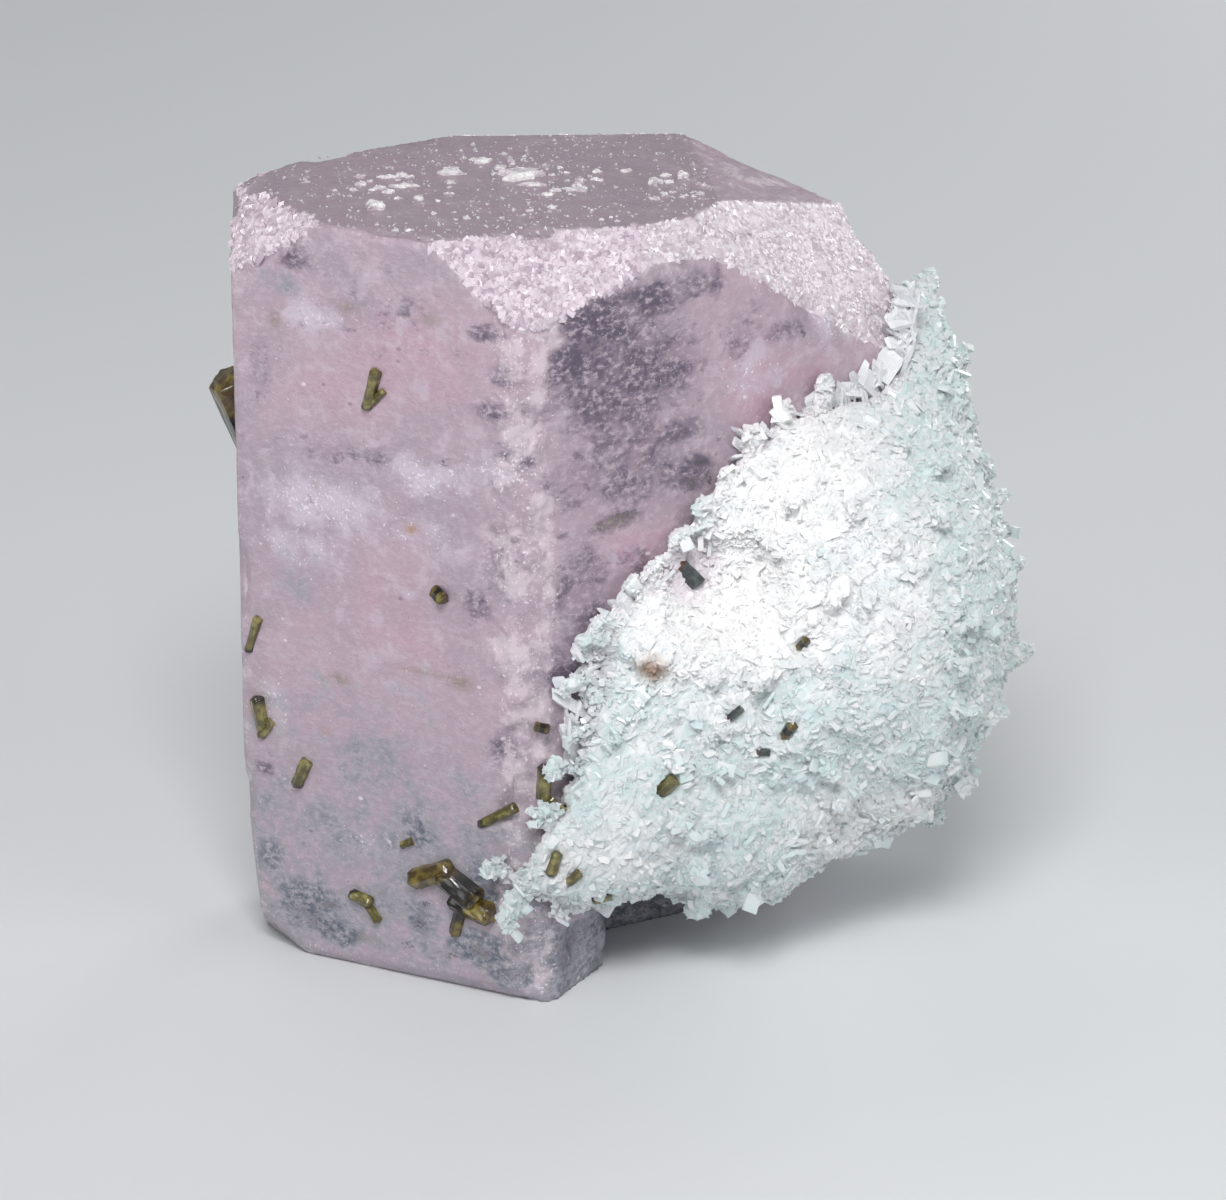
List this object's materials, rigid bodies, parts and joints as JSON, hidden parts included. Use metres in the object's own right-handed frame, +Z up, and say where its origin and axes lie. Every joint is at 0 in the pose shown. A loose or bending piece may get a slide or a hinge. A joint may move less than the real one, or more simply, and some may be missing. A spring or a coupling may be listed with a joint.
{
  "type": "morganite crystal specimen",
  "caption": "Flattened six-sided pink beryl prism with bevelled top corners, a bladed white crust around one end and small olive prisms, standing on its broken base.",
  "frame": {"origin": "on the flat base plane, at the beryl prism's long axis", "axes": "+Z up along the prism's long axis; -Y towards the viewer of the front edge; +X to the crust's side"},
  "size_m": [0.0541, 0.033, 0.051],
  "materials": {
    "morganite": "glassy, etched",
    "albite": "icy, sparkling",
    "olive_tourmaline": "glassy",
    "brown_tourmaline": "glassy",
    "grey_tourmaline": "satin"
  },
  "bodies": {
    "root": {"morganite_crystal": "morganite", "albite_crust": "albite", "tourmaline_pair": "olive_tourmaline", "tourmaline_left_low": "olive_tourmaline", "tourmaline_left_edge": "olive_tourmaline", "tourmaline_left_bunch": "olive_tourmaline", "tourmaline_edge_left": "olive_tourmaline", "tourmaline_base_left": "olive_tourmaline", "tourmaline_base_small": "olive_tourmaline", "tourmaline_edge_upright": "olive_tourmaline", "tourmaline_toe_rod": "olive_tourmaline", "tourmaline_toe_upright": "olive_tourmaline", "tourmaline_toe_small": "olive_tourmaline", "tourmaline_crust_low": "olive_tourmaline", "tourmaline_crust_green": "olive_tourmaline", "tourmaline_left_end": "brown_tourmaline", "tourmaline_stub": "brown_tourmaline", "tourmaline_base_bunch": "brown_tourmaline", "tourmaline_edge_brown": "brown_tourmaline", "tourmaline_crust_brown": "brown_tourmaline", "tourmaline_crust_red": "brown_tourmaline", "tourmaline_crust_edge": "grey_tourmaline", "tourmaline_crust_dark_upper": "grey_tourmaline", "tourmaline_crust_dark_lower": "grey_tourmaline"}
  },
  "joints": []
}
